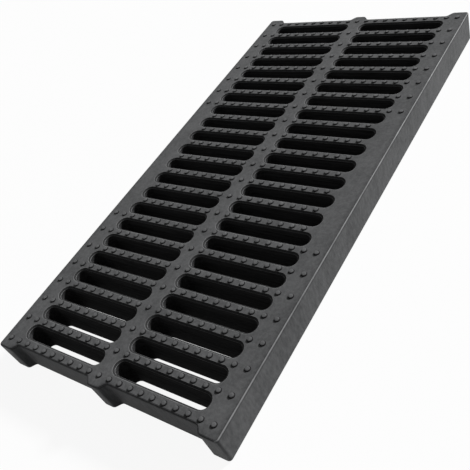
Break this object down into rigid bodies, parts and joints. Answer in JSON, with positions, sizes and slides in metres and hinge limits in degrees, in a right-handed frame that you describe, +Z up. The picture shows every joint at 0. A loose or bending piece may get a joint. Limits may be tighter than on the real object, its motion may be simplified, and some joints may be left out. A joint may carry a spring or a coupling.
{
  "type": "drain grate",
  "caption": "Flat oblong drain grate moulded in one piece, with long round-ended slots in two columns and small anti-slip studs.",
  "frame": {"origin": "middle of the underside", "axes": "+X across the grate, +Y along its length, +Z up through the studded face"},
  "size_m": [0.242, 0.5, 0.0312],
  "materials": {
    "composite": "black moulded resin composite with a dull sheen and a fine mould texture"
  },
  "bodies": {
    "root": {"drain_grate": "composite"}
  },
  "joints": []
}
